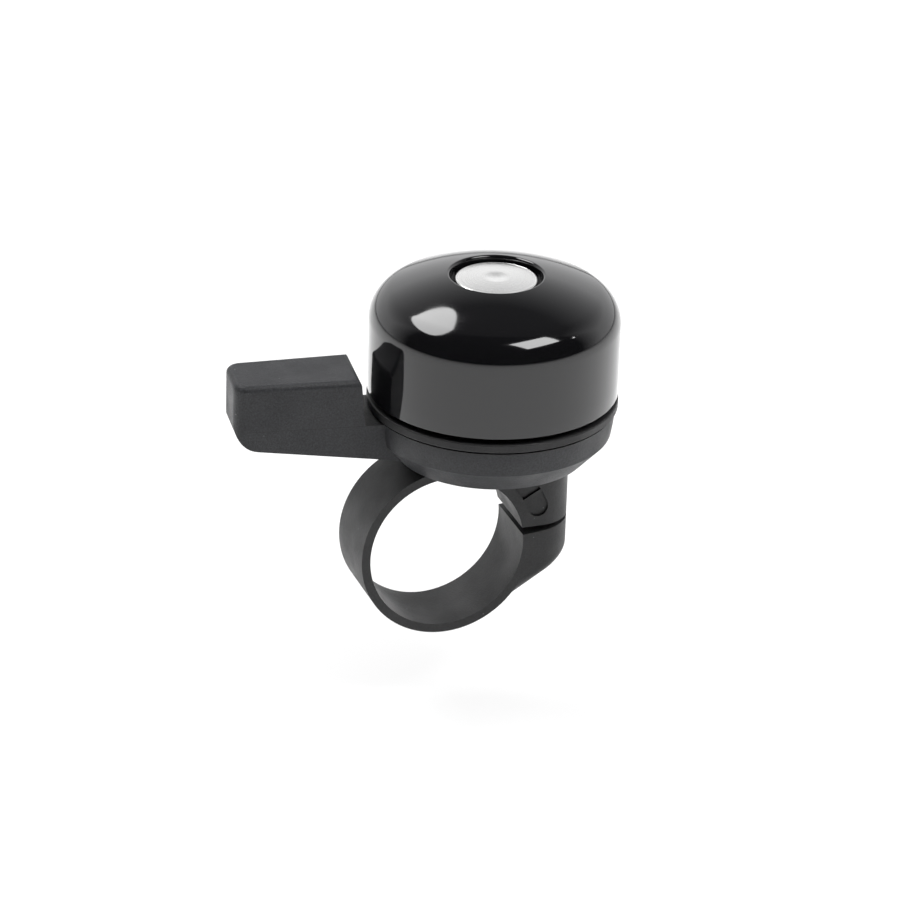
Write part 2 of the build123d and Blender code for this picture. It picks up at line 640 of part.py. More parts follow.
ON_CLAMP = {
    "clamp_body": clamp_body,
    "clamp_screw": clamp_screw,
    "clamp_washer": clamp_washer,
    "clamp_nut": clamp_nut,
}
ON_AXIS = {
    "lever_cup": lever_cup,
    "drive_pin": drive_pin,
    "return_spring": return_spring,
    "thrust_washer": thrust_washer,
    "threaded_insert": threaded_insert,
    "mechanism_tray": tray,
    "pivot_pin": pivot_pin,
    "pivot_washer": pivot_washer,
    "pivot_clip": pivot_clip,
    "striker_arm": striker_arm,
    "striker_head": striker_head,
    "dome_spacer": dome_spacer,
    "dome_grommet": dome_grommet,
    "bell_dome": bell_dome,
    "head_washer": head_washer,
    "dome_screw": dome_screw,
}

os.makedirs("parts", exist_ok=True)
for name, make in ON_CLAMP.items():
    export_step(make(), f"parts/{name}.step")
for name, make in ON_AXIS.items():
    export_step(Pos(AXIS_X, 0, 0) * make(), f"parts/{name}.step")
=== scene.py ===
"""Looks for a thumb-lever bicycle bell, laid out as an add-on and run as a script."""
import json
import math

import bmesh
import bpy
from mathutils import Matrix, Vector


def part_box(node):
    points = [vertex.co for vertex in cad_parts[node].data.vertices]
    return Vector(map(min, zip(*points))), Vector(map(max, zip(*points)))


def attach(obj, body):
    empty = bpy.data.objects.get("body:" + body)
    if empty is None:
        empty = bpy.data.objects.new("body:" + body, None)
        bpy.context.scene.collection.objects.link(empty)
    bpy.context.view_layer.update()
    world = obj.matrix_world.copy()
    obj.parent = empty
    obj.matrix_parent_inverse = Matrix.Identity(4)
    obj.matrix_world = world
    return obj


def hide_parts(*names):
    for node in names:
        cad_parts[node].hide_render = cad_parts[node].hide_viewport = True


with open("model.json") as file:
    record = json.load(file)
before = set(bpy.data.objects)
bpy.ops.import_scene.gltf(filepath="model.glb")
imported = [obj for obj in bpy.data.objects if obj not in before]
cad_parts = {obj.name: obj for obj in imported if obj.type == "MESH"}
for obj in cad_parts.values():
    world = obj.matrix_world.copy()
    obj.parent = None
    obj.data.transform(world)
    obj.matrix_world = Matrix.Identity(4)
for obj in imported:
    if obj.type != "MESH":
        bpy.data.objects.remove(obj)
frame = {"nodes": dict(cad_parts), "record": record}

bl_info = {
    "name": "Bicycle bell",
    "version": (1, 0, 0),
    "blender": (4, 5, 0),
    "location": "View3D > Sidebar > Bell",
    "description": "Builds the pieces, materials and stage of a bicycle bell",
    "category": "Object",
}

MM = 0.001
MOUTH_ROUND = 0.25 * MM
TRAY_RIM_HEIGHT = 1.2 * MM
RIM_LINE_MARGIN = 0.28 * MM
UNDERHEAD_BEVEL = 0.1 * MM
SPECK_REACH = 0.16
SENSOR_WIDTH = 36.0
OWN_OPERATOR = ("bell_dome", "dome_screw", "mechanism_tray", "lever_cup", "clamp_body")


# ---- Settings ---------------------------------------------------------------------

def length(label, text, value):
    """A length setting in metres, from a value in millimetres."""
    return bpy.props.FloatProperty(
        name=label, description=text, default=value * MM, unit="LENGTH", subtype="DISTANCE", precision=5)


def angle(label, text, value):
    """An angle setting, from a value in degrees."""
    return bpy.props.FloatProperty(
        name=label, description=text, default=math.radians(value), unit="ROTATION", subtype="ANGLE")


class BellSettings(bpy.types.PropertyGroup):
    """Sizes that the CAD boxes don't give, and the studio's settings."""
    segments: bpy.props.IntProperty(name="Segments", description="Steps round a turned piece", default=192)
    crown_radius: length("Crown radius", "Radius of the dome's top", 36.0)
    crown_top: length("Crown top", "Height where the crown would close over the recess", 39.05)
    shoulder_radius: length("Shoulder radius", "Radius between crown and skirt", 4.8)
    dome_wall: length("Dome wall", "Thickness of the dome", 1.2)
    recess_radius: length("Recess radius", "Radius of the recess round the screw", 6.3)
    recess_floor: length("Recess floor", "Height of the recess floor", 36.75)
    rim_round: length("Rim round", "Radius of the recess's rim", 0.35)
    screw_hole: length("Screw hole", "Radius of the hole in the dome", 1.65)
    head_round: length("Head round", "Radius of the screw head's edge", 0.3)
    head_crown: length("Head crown", "Rise of the screw head's face", 0.3)
    head_height: length("Head height", "Height of the screw head's side", 0.75)
    head_base: length("Head base", "Height of the screw head's underside", 37.05)
    dimple_radius: length("Dimple radius", "Radius of the dimple in the screw head", 1.9)
    dimple_depth: length("Dimple depth", "Depth of the dimple in the screw head", 0.16)
    shank_radius: length("Shank radius", "Radius of the dome screw's shank", 1.5)
    line_count: bpy.props.IntProperty(name="Rim lines", description="Fine lines round the tray's rim", default=5)
    line_radius: length("Line radius", "Half the thickness of one rim line", 0.07)
    # Height of the painted shade line in the groove at the lever's parting line.
    parting_shade_height: length("Parting line", "Height of the lever's mould parting line", 19.5)
    floor_z: length("Floor height", "Height of the studio floor", -24.0)
    floor_size: length("Floor size", "Side of the studio floor", 6000.0)
    view_azimuth: angle("View azimuth", "Camera's turn about Z", -20.151)
    view_elevation: angle("View elevation", "Camera's height above the horizon", 25.570)
    view_roll: angle("View roll", "Camera's turn about its own axis", 1.782)
    view_distance: length("View distance", "From the camera to its target", 600.0)
    view_right: length("View right", "Target's place along the view's right", 1.660)
    view_up: length("View up", "Target's place along the view's up", 11.906)
    lens: bpy.props.FloatProperty(name="Lens", description="Focal length in millimetres", default=173.9)


# ---- Mesh helpers --------------------------------------------------------------------

def finish_mesh(obj, sharp=35.0):
    """Smooth shading with edges kept sharp above an angle."""
    obj.data.shade_smooth()
    obj.data.set_sharp_from_angle(angle=math.radians(sharp))
    return obj


def new_object(name, mesh):
    obj = bpy.data.objects.new(name, mesh)
    bpy.context.scene.collection.objects.link(obj)
    return obj


def turned(name, outline, axis, segments, closed=True):
    """A mesh turned about a vertical axis from (radius, height) points."""
    tool = bmesh.new()
    rings = []
    for radius, height in outline:
        if radius < 1e-7:
            rings.append([tool.verts.new((axis[0], axis[1], height))])
            continue
        ring = []
        for step in range(segments):
            turn = 2 * math.pi * step / segments
            place = (axis[0] + radius * math.cos(turn), axis[1] + radius * math.sin(turn), height)
            ring.append(tool.verts.new(place))
        rings.append(ring)
    pairs = list(zip(rings, rings[1:]))
    if closed:
        pairs.append((rings[-1], rings[0]))
    for low, high in pairs:
        for step in range(segments):
            after = (step + 1) % segments
            corners = []
            for vert in (low[step % len(low)], low[after % len(low)],
                         high[after % len(high)], high[step % len(high)]):
                if vert not in corners:
                    corners.append(vert)
            if len(corners) > 2:
                tool.faces.new(corners)
    bmesh.ops.recalc_face_normals(tool, faces=tool.faces)
    mesh = bpy.data.meshes.new(name)
    tool.to_mesh(mesh)
    tool.free()
    return finish_mesh(new_object(name, mesh))


def arc(centre, radius, start, end, steps):
    """Points along an arc, with angles in radians."""
    points = []
    for step in range(steps + 1):
        turn = start + (end - start) * step / steps
        points.append((centre[0] + radius * math.cos(turn), centre[1] + radius * math.sin(turn)))
    return points


def rounded(corner, radius, start, steps=6):
    """A quarter turn at an outer corner: start is the angle where the arc begins."""
    mid = start + math.pi / 4
    centre = (corner[0] - math.copysign(radius, math.cos(mid)),
              corner[1] - math.copysign(radius, math.sin(mid)))
    return arc(centre, radius, start, start + math.pi / 2, steps)


def node_copy(name, part, sharp=30.0):
    """A piece with the same shape as a CAD node."""
    mesh = frame["nodes"][part].data.copy()
    mesh.name = name
    mesh.materials.clear()
    return finish_mesh(new_object(name, mesh), sharp)


def dress(obj, material, slot, body, *nodes):
    """Give a piece its material, attach it to its body and hide the nodes it stands for."""
    obj.data.materials.clear()
    obj.data.materials.append(material)
    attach(obj, body)
    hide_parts(*nodes)
    return obj


# ---- Shader helpers ---------------------------------------------------------------------

def node(tree, kind, **settings):
    made = tree.nodes.new(kind)
    for key, value in settings.items():
        setattr(made, key, value)
    return made


def maths(tree, operation, first, second=None, clamp=False):
    """A math node fed by sockets or numbers."""
    made = node(tree, "ShaderNodeMath", operation=operation, use_clamp=clamp)
    for index, value in enumerate((first, second)):
        if value is None:
            continue
        if isinstance(value, (int, float)):
            made.inputs[index].default_value = value
        else:
            tree.links.new(value, made.inputs[index])
    return made.outputs[0]


def group(name, inputs, outputs):
    """An empty shader group with named value sockets."""
    made = bpy.data.node_groups.new(name, "ShaderNodeTree")
    for label, kind, default in inputs:
        socket = made.interface.new_socket(name=label, in_out="INPUT", socket_type=kind)
        if default is not None:
            socket.default_value = default
    for label, kind in outputs:
        made.interface.new_socket(name=label, in_out="OUTPUT", socket_type=kind)
    return made, made.nodes.new("NodeGroupInput"), made.nodes.new("NodeGroupOutput")


VECTOR = "NodeSocketVector"
FLOAT = "NodeSocketFloat"


def grain_group():
    """Fine moulded or sprayed grain, with sparse pale specks and broad handling marks."""
    made, source, sink = group(
        "Surface_grain",
        [("Place", VECTOR, None), ("Grain size", FLOAT, 0.0002), ("Speck size", FLOAT, 0.0006),
         ("Speck share", FLOAT, 0.02)],
        [("Grain", FLOAT), ("Specks", FLOAT), ("Marks", FLOAT)])
    link = made.links.new
    fine = node(made, "ShaderNodeTexNoise", noise_dimensions="3D")
    fine.inputs["Detail"].default_value = 3.0
    fine.inputs["Roughness"].default_value = 0.65
    link(source.outputs["Place"], fine.inputs["Vector"])
    link(maths(made, "DIVIDE", 1.0, source.outputs["Grain size"]), fine.inputs["Scale"])
    link(fine.outputs["Fac"], sink.inputs["Grain"])
    cells = node(made, "ShaderNodeTexVoronoi", feature="F1")
    link(source.outputs["Place"], cells.inputs["Vector"])
    link(maths(made, "DIVIDE", 1.0, source.outputs["Speck size"]), cells.inputs["Scale"])
    near = maths(made, "LESS_THAN", cells.outputs["Distance"], SPECK_REACH)
    pick = node(made, "ShaderNodeSeparateColor")
    link(cells.outputs["Color"], pick.inputs["Color"])
    rare = maths(made, "LESS_THAN", pick.outputs["Red"], source.outputs["Speck share"])
    link(maths(made, "MULTIPLY", near, rare), sink.inputs["Specks"])
    broad = node(made, "ShaderNodeTexNoise", noise_dimensions="3D")
    broad.inputs["Scale"].default_value = 180.0
    broad.inputs["Detail"].default_value = 5.0
    link(source.outputs["Place"], broad.inputs["Vector"])
    link(broad.outputs["Fac"], sink.inputs["Marks"])
    return made


def rings_group():
    """Fine rings turned about the bell's axis."""
    made, source, sink = group(
        "Turned_rings",
        [("Place", VECTOR, None), ("Axis X", FLOAT, 0.0), ("Ring size", FLOAT, 0.0001)],
        [("Rings", FLOAT)])
    link = made.links.new
    split = node(made, "ShaderNodeSeparateXYZ")
    link(source.outputs["Place"], split.inputs[0])
    across = maths(made, "SUBTRACT", split.outputs["X"], source.outputs["Axis X"])
    squares = maths(made, "ADD", maths(made, "MULTIPLY", across, across),
                    maths(made, "MULTIPLY", split.outputs["Y"], split.outputs["Y"]))
    radius = maths(made, "SQRT", squares)
    ring = node(made, "ShaderNodeTexNoise", noise_dimensions="1D")
    ring.inputs["Scale"].default_value = 1.0
    ring.inputs["Detail"].default_value = 2.0
    link(maths(made, "DIVIDE", radius, source.outputs["Ring size"]), ring.inputs["W"])
    link(ring.outputs["Fac"], sink.inputs["Rings"])
    return made


def parting_shade_group():
    """A narrow band at one height, where painted shade darkens the groove at the lever's parting line."""
    made, source, sink = group(
        "Parting_shade_band",
        [("Place", VECTOR, None), ("Height", FLOAT, 0.0), ("Half width", FLOAT, 0.00005)],
        [("Band", FLOAT)])
    split = node(made, "ShaderNodeSeparateXYZ")
    made.links.new(source.outputs["Place"], split.inputs[0])
    away = maths(made, "ABSOLUTE", maths(made, "SUBTRACT", split.outputs["Z"], source.outputs["Height"]))
    share = maths(made, "DIVIDE", away, source.outputs["Half width"])
    groove_shade = maths(made, "SUBTRACT", 1.0, share, clamp=True)
    made.links.new(groove_shade, sink.inputs["Band"])
    return made


def use_group(tree, name, **values):
    made = node(tree, "ShaderNodeGroup")
    made.node_tree = bpy.data.node_groups[name]
    for label, value in values.items():
        made.inputs[label.replace("_", " ")].default_value = value
    return made


def ramp(tree, value, low, high, from_low=0.0, from_high=1.0):
    """Map a value's range to another, clamped."""
    made = node(tree, "ShaderNodeMapRange", clamp=True)
    for index, number in ((1, from_low), (2, from_high), (3, low), (4, high)):
        made.inputs[index].default_value = number
    tree.links.new(value, made.inputs[0])
    return made.outputs[0]


def mix_color(tree, factor, first, second):
    """Mix two colours, given as tuples or sockets."""
    made = node(tree, "ShaderNodeMix", data_type="RGBA")
    tree.links.new(factor, made.inputs["Factor"])
    for index, value in ((6, first), (7, second)):
        if isinstance(value, tuple):
            made.inputs[index].default_value = (*value, 1.0)
        else:
            tree.links.new(value, made.inputs[index])
    return made.outputs[2]


def surface(name, metallic=0.0, coat=0.0, ior=1.5):
    """A material with its object coordinates ready."""
    made = bpy.data.materials.new(name)
    made.use_nodes = True
    tree = made.node_tree
    tree.nodes.clear()
    out = node(tree, "ShaderNodeOutputMaterial")
    shader = node(tree, "ShaderNodeBsdfPrincipled")
    shader.inputs["Metallic"].default_value = metallic
    shader.inputs["Coat Weight"].default_value = coat
    shader.inputs["IOR"].default_value = ior
    tree.links.new(shader.outputs[0], out.inputs["Surface"])
    place = node(tree, "ShaderNodeTexCoord").outputs["Object"]
    return made, tree, shader, place


def bump(tree, shader, height, distance, strength=1.0):
    made = node(tree, "ShaderNodeBump")
    made.inputs["Distance"].default_value = distance
    made.inputs["Strength"].default_value = strength
    tree.links.new(height, made.inputs["Height"])
    tree.links.new(made.outputs[0], shader.inputs["Normal"])


def plastic(name, dark, pale, rough, grain, depth, parting_shade_height=None):
    """Moulded plastic: grain, pale specks, handling marks and painted shade along the parting line's groove."""
    made, tree, shader, place = surface(name, ior=1.46)
    shader.inputs["Specular IOR Level"].default_value = 0.36
    grains = use_group(tree, "Surface_grain", Grain_size=grain * MM, Speck_size=0.7 * MM, Speck_share=0.025)
    tree.links.new(place, grains.inputs["Place"])
    tint = mix_color(tree, ramp(tree, grains.outputs["Grain"], 0.0, 1.0, 0.3, 0.7), dark, pale)
    worn = maths(tree, "MULTIPLY", grains.outputs["Specks"], 0.35)
    tint = mix_color(tree, worn, tint, (0.2, 0.2, 0.21))
    if parting_shade_height is not None:
        # Painted shade: a near-black band darkens the groove at the parting line.
        groove_shade = use_group(tree, "Parting_shade_band", Height=parting_shade_height, Half_width=0.07 * MM)
        tree.links.new(place, groove_shade.inputs["Place"])
        tint = mix_color(tree, maths(tree, "MULTIPLY", groove_shade.outputs[0], 0.8), tint, (0.008, 0.008, 0.008))
    tree.links.new(tint, shader.inputs["Base Color"])
    tree.links.new(ramp(tree, grains.outputs["Marks"], rough - 0.08, rough + 0.1, 0.3, 0.7),
                   shader.inputs["Roughness"])
    bump(tree, shader, grains.outputs["Grain"], depth * MM)
    return made


def gloss_black(name):
    """Deep gloss paint: faint orange peel, dust and wiping marks."""
    made, tree, shader, place = surface(name, coat=0.12)
    grains = use_group(tree, "Surface_grain", Grain_size=1.6 * MM, Speck_size=1.5 * MM, Speck_share=0.012)
    tree.links.new(place, grains.inputs["Place"])
    dust = maths(tree, "MULTIPLY", grains.outputs["Specks"], 0.25)
    tree.links.new(mix_color(tree, dust, (0.0035, 0.0035, 0.004), (0.2, 0.2, 0.2)),
                   shader.inputs["Base Color"])
    tree.links.new(ramp(tree, grains.outputs["Marks"], 0.05, 0.11, 0.35, 0.75), shader.inputs["Roughness"])
    shader.inputs["Coat Roughness"].default_value = 0.02
    bump(tree, shader, grains.outputs["Grain"], 0.0012 * MM, 0.5)
    return made


def metal(name, dark, pale, rough, axis_x, ring=0.12, depth=0.002):
    """Turned metal: fine rings, with duller patches."""
    made, tree, shader, place = surface(name, metallic=1.0)
    rings = use_group(tree, "Turned_rings", Axis_X=axis_x, Ring_size=ring * MM)
    grains = use_group(tree, "Surface_grain", Grain_size=0.25 * MM, Speck_size=0.5 * MM, Speck_share=0.03)
    for made_group in (rings, grains):
        tree.links.new(place, made_group.inputs["Place"])
    tree.links.new(mix_color(tree, rings.outputs["Rings"], dark, pale), shader.inputs["Base Color"])
    uneven = maths(tree, "ADD", maths(tree, "MULTIPLY", grains.outputs["Marks"], 0.6),
                   maths(tree, "MULTIPLY", rings.outputs["Rings"], 0.4))
    tree.links.new(ramp(tree, uneven, rough - 0.07, rough + 0.09, 0.3, 0.7), shader.inputs["Roughness"])
    bump(tree, shader, rings.outputs["Rings"], depth * MM)
    return made


def make_materials(axis_x, parting_shade_height):
    """Every material, by the record's slot."""
    grain_group()
    rings_group()
    parting_shade_group()
    return {
        "dome_black": gloss_black("Gloss_black"),
        "lever_plastic": plastic("Lever_plastic", (0.011, 0.011, 0.012), (0.026, 0.027, 0.030), 0.5,
                                 0.24, 0.05, parting_shade_height),
        "clamp_plastic": plastic("Clamp_plastic", (0.012, 0.012, 0.012), (0.020, 0.020, 0.021), 0.48,
                                 0.26, 0.03),
        "tray_plastic": plastic("Tray_plastic", (0.006, 0.006, 0.006), (0.018, 0.018, 0.019), 0.5, 0.14, 0.015),
        "nylon": plastic("Nylon", (0.55, 0.55, 0.52), (0.68, 0.68, 0.64), 0.45, 0.4, 0.005),
        "grommet_rubber": plastic("Rubber", (0.012, 0.012, 0.012), (0.03, 0.03, 0.03), 0.75, 0.3, 0.01),
        "screw_silver": metal("Satin_silver", (0.70, 0.70, 0.69), (0.90, 0.90, 0.89), 0.27, axis_x),
        "zinc_steel": metal("Zinc_steel", (0.50, 0.51, 0.52), (0.66, 0.67, 0.68), 0.35, 13.9 * MM, 0.3),
        "pin_steel": metal("Pin_steel", (0.45, 0.45, 0.45), (0.6, 0.6, 0.6), 0.3, axis_x, 0.4),
        "spring_steel": metal("Spring_steel", (0.3, 0.3, 0.31), (0.45, 0.45, 0.46), 0.35, axis_x, 0.4),
        "spacer_aluminium": metal("Spacer_aluminium", (0.7, 0.7, 0.71), (0.82, 0.82, 0.83), 0.3, axis_x, 0.3),
        "insert_brass": metal("Insert_brass", (0.62, 0.46, 0.2), (0.78, 0.6, 0.3), 0.3, axis_x, 0.3),
    }


# ---- Pieces --------------------------------------------------------------------------------

def axis_of(node_name):
    low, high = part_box(node_name)
    return (low[0] + high[0]) / 2, (low[1] + high[1]) / 2


class BELL_OT_dome(bpy.types.Operator):
    """Turn the gloss dome with its recess"""
    bl_idname = "bell.dome"
    bl_label = "Dome"

    def execute(self, context):
        s = context.scene.bell
        low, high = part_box("bell_dome")
        axis = axis_of("bell_dome")
        radius = (high[0] - low[0]) / 2
        crown_z = s.crown_top - s.crown_radius
        shoulder_r = radius - s.shoulder_radius
        shoulder_z = crown_z + math.sqrt((s.crown_radius - s.shoulder_radius) ** 2 - shoulder_r ** 2)
        meet = math.atan2(shoulder_z - crown_z, shoulder_r)

        def skin(inset, until):
            """The outline from the skirt up over the shoulder to a radius."""
            points = [(radius - inset, shoulder_z * (1 - t) + (low[2] + MOUTH_ROUND) * t)
                      for t in (1.0, 0.75, 0.5, 0.25)]
            points += arc((shoulder_r, shoulder_z), s.shoulder_radius - inset, 0.0, meet, 28)
            end = math.acos(until / (s.crown_radius - inset))
            return points + arc((0.0, crown_z), s.crown_radius - inset, meet, end, 24)[1:]

        outer = skin(0.0, s.recess_radius + s.rim_round)
        rim_z = outer[-1][1]
        lean = math.atan2(rim_z - crown_z, outer[-1][0])
        rim = arc((s.recess_radius + s.rim_round, rim_z - s.rim_round), s.rim_round,
                  lean, math.pi, 8)
        boss = s.recess_radius + s.dome_wall
        under = s.recess_floor - s.dome_wall
        inner = skin(s.dome_wall, boss)
        outline = outer + rim + [
            (s.recess_radius, s.recess_floor), (s.screw_hole, s.recess_floor),
            (s.screw_hole, under), (boss, under)] + inner[::-1]
        wall = radius - s.dome_wall
        outline += rounded((wall, low[2]), MOUTH_ROUND, math.pi)[1:]
        outline += rounded((radius, low[2]), MOUTH_ROUND, 1.5 * math.pi)[:-1]
        piece = turned("Dome", outline, axis, s.segments)
        dress(piece, MATERIALS["dome_black"], "dome_black", "clamp", "bell_dome")
        return {"FINISHED"}


class BELL_OT_screw(bpy.types.Operator):
    """Turn the dome's wide-headed screw"""
    bl_idname = "bell.screw"
    bl_label = "Dome screw"

    def execute(self, context):
        s = context.scene.bell
        low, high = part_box("dome_screw")
        head = (high[0] - low[0]) / 2
        edge = s.head_base + s.head_height
        ball = (head ** 2 + s.head_crown ** 2) / (2 * s.head_crown)

        def face(radius):
            """Height of the head's face, with its dimple."""
            height = edge + s.head_crown - ball + math.sqrt(ball ** 2 - radius ** 2)
            dip = max(0.0, 1 - (radius / s.dimple_radius) ** 2)
            return height - s.dimple_depth * dip ** 2

        outline = [(0.0, low[2]), (s.shank_radius, low[2]), (s.shank_radius, s.head_base),
                   (head - UNDERHEAD_BEVEL, s.head_base), (head, s.head_base + UNDERHEAD_BEVEL)]
        outline += arc((head - s.head_round, edge - s.head_round * 0.8), s.head_round,
                       0.0, 0.45 * math.pi, 8)
        steps = 40
        inner = head - s.head_round
        outline += [(inner * (1 - k / steps), face(inner * (1 - k / steps))) for k in range(steps + 1)]
        piece = turned("Dome_screw", outline, axis_of("dome_screw"), s.segments, closed=False)
        dress(piece, MATERIALS["screw_silver"], "screw_silver", "clamp", "dome_screw")
        return {"FINISHED"}


class BELL_OT_tray(bpy.types.Operator):
    """Copy the tray and wind fine lines round its rim"""
    bl_idname = "bell.tray"
    bl_label = "Tray"

    def execute(self, context):
        s = context.scene.bell
        low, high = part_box("mechanism_tray")
        axis = axis_of("mechanism_tray")
        radius = (high[0] - low[0]) / 2
        bottom = high[2] - TRAY_RIM_HEIGHT
        piece = node_copy("Tray", "mechanism_tray")
        dress(piece, MATERIALS["tray_plastic"], "tray_plastic", "clamp", "mechanism_tray")
        lines = rim_lines(axis, radius - s.line_radius, bottom + RIM_LINE_MARGIN, high[2] - RIM_LINE_MARGIN,
                          s.line_count, s.line_radius, s.segments)
        lines.data.materials.clear()
        lines.data.materials.append(MATERIALS["tray_plastic"])
        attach(lines, "clamp")
        return {"FINISHED"}


def rim_lines(axis, radius, low, high, count, thickness, segments):
    """A stack of thin rings, made by a Geometry Nodes tree and baked to a mesh."""
    tree = bpy.data.node_groups.new("Rim_lines", "GeometryNodeTree")
    face = tree.interface
    face.new_socket(name="Geometry", in_out="INPUT", socket_type="NodeSocketGeometry")
    sockets = {}
    for label, kind in (("Radius", FLOAT), ("Thickness", FLOAT), ("Low", FLOAT), ("High", FLOAT),
                        ("Axis X", FLOAT), ("Axis Y", FLOAT), ("Count", "NodeSocketInt"),
                        ("Segments", "NodeSocketInt"), ("Material", "NodeSocketMaterial")):
        sockets[label] = face.new_socket(name=label, in_out="INPUT", socket_type=kind).identifier
    face.new_socket(name="Geometry", in_out="OUTPUT", socket_type="NodeSocketGeometry")
    given = tree.nodes.new("NodeGroupInput")
    out = tree.nodes.new("NodeGroupOutput")
    line = node(tree, "GeometryNodeMeshLine", mode="END_POINTS")
    first = node(tree, "ShaderNodeCombineXYZ")
    last = node(tree, "ShaderNodeCombineXYZ")
    link = tree.links.new
    for made, label in ((first, "Low"), (last, "High")):
        link(given.outputs["Axis X"], made.inputs["X"])
        link(given.outputs["Axis Y"], made.inputs["Y"])
        link(given.outputs[label], made.inputs["Z"])
    link(given.outputs["Count"], line.inputs["Count"])
    link(first.outputs[0], line.inputs["Start Location"])
    link(last.outputs[0], line.inputs["Offset"])
    circle = node(tree, "GeometryNodeCurvePrimitiveCircle")
    link(given.outputs["Segments"], circle.inputs["Resolution"])
    link(given.outputs["Radius"], circle.inputs["Radius"])
    wire = node(tree, "GeometryNodeCurvePrimitiveCircle")
    wire.inputs["Resolution"].default_value = 8
    link(given.outputs["Thickness"], wire.inputs["Radius"])
    sweep = node(tree, "GeometryNodeCurveToMesh")
    link(circle.outputs["Curve"], sweep.inputs["Curve"])
    link(wire.outputs["Curve"], sweep.inputs["Profile Curve"])
    stand = node(tree, "GeometryNodeInstanceOnPoints")
    link(line.outputs[0], stand.inputs["Points"])
    link(sweep.outputs[0], stand.inputs["Instance"])
    real = node(tree, "GeometryNodeRealizeInstances")
    paint = node(tree, "GeometryNodeSetMaterial")
    link(stand.outputs[0], real.inputs[0])
    link(real.outputs[0], paint.inputs["Geometry"])
    link(given.outputs["Material"], paint.inputs["Material"])
    link(paint.outputs[0], out.inputs[0])
    holder = new_object("Rim_lines_maker", bpy.data.meshes.new("Rim_lines_maker"))
    modifier = holder.modifiers.new("Rim_lines", "NODES")
    modifier.node_group = tree
    values = {"Radius": radius, "Thickness": thickness, "Low": low, "High": high, "Axis X": axis[0],
              "Axis Y": axis[1], "Count": count, "Segments": segments,
              "Material": MATERIALS["tray_plastic"]}
    for label, value in values.items():
        modifier[sockets[label]] = value
    graph = bpy.context.evaluated_depsgraph_get()
    mesh = bpy.data.meshes.new_from_object(holder.evaluated_get(graph))
    mesh.name = "Rim_lines"
    bpy.data.objects.remove(holder)
    return finish_mesh(new_object("Rim_lines", mesh), 60.0)


class BELL_OT_lever(bpy.types.Operator):
    """Dress the lever cup"""
    bl_idname = "bell.lever"
    bl_label = "Lever cup"

    def execute(self, context):
        piece = node_copy("Lever_cup", "lever_cup", 24.0)
        dress(piece, MATERIALS["lever_plastic"], "lever_plastic", "lever", "lever_cup")
        return {"FINISHED"}


class BELL_OT_clamp(bpy.types.Operator):
    """Dress the clamp moulding"""
    bl_idname = "bell.clamp"
    bl_label = "Clamp"

    def execute(self, context):
        piece = node_copy("Clamp", "clamp_body", 24.0)
        dress(piece, MATERIALS["clamp_plastic"], "clamp_plastic", "clamp", "clamp_body")
        return {"FINISHED"}


class BELL_OT_small_parts(bpy.types.Operator):
    """Dress the screws, washers, pins, spring and striker"""
    bl_idname = "bell.small_parts"
    bl_label = "Small parts"

    def execute(self, context):
        slots = {entry["node"]: entry["material_slot"] for entry in frame["record"]["subparts"]}
        bodies = frame["record"]["behaviour"]["bodies"]
        owner = {part: body for body, parts in bodies.items() for part in parts}
        for part, slot in slots.items():
            if part in OWN_OPERATOR:
                continue
            piece = node_copy(part.title(), part)
            dress(piece, MATERIALS[slot], slot, owner[part], part)
        return {"FINISHED"}


# ---- Stage -------------------------------------------------------------------------------------

def floor_material():
    made, tree, shader, place = surface("Studio_floor")
    grains = use_group(tree, "Surface_grain", Grain_size=6 * MM, Speck_size=9 * MM, Speck_share=0.0)
    tree.links.new(place, grains.inputs["Place"])
    tree.links.new(mix_color(tree, grains.outputs["Marks"], (0.93, 0.93, 0.93), (0.95, 0.95, 0.95)),
                   shader.inputs["Base Color"])
    shader.inputs["Roughness"].default_value = 0.9
    shader.inputs["Specular IOR Level"].default_value = 0.1
    white = node(tree, "ShaderNodeEmission")
    mixer = node(tree, "ShaderNodeMixShader")
    out = next(n for n in tree.nodes if n.type == "OUTPUT_MATERIAL")
    path = node(tree, "ShaderNodeLightPath")
    tree.links.new(maths(tree, "MULTIPLY", path.outputs["Is Camera Ray"], 0.7), mixer.inputs[0])
    tree.links.new(shader.outputs[0], mixer.inputs[1])
    tree.links.new(white.outputs[0], mixer.inputs[2])
    tree.links.new(mixer.outputs[0], out.inputs["Surface"])
    return made


def studio_world(toward):
    """White studio that is dark on the camera's side, and plain white behind the object."""
    world = bpy.data.worlds.new("Studio")
    bpy.context.scene.world = world
    world.use_nodes = True
    tree = world.node_tree
    tree.nodes.clear()
    out = node(tree, "ShaderNodeOutputWorld")
    room = node(tree, "ShaderNodeBackground")
    white = node(tree, "ShaderNodeBackground")
    white.inputs["Color"].default_value = (1, 1, 1, 1)
    direction = node(tree, "ShaderNodeTexCoord").outputs["Generated"]
    facing = node(tree, "ShaderNodeVectorMath", operation="DOT_PRODUCT")
    facing.inputs[1].default_value = toward
    tree.links.new(direction, facing.inputs[0])
    height = node(tree, "ShaderNodeSeparateXYZ")
    tree.links.new(direction, height.inputs[0])
    front = ramp(tree, facing.outputs["Value"], 0.0, 1.0, -0.35, 0.12)
    ceiling = ramp(tree, height.outputs["Z"], 0.0, 0.93, 0.35, 0.80)
    shade = maths(tree, "MAXIMUM", front, ceiling)
    tree.links.new(mix_color(tree, shade, (1.15, 1.15, 1.16), (0.02, 0.02, 0.022)), room.inputs["Color"])
    path = node(tree, "ShaderNodeLightPath")
    mixer = node(tree, "ShaderNodeMixShader")
    tree.links.new(path.outputs["Is Camera Ray"], mixer.inputs[0])
    tree.links.new(room.outputs[0], mixer.inputs[1])
    tree.links.new(white.outputs[0], mixer.inputs[2])
    tree.links.new(mixer.outputs[0], out.inputs["Surface"])


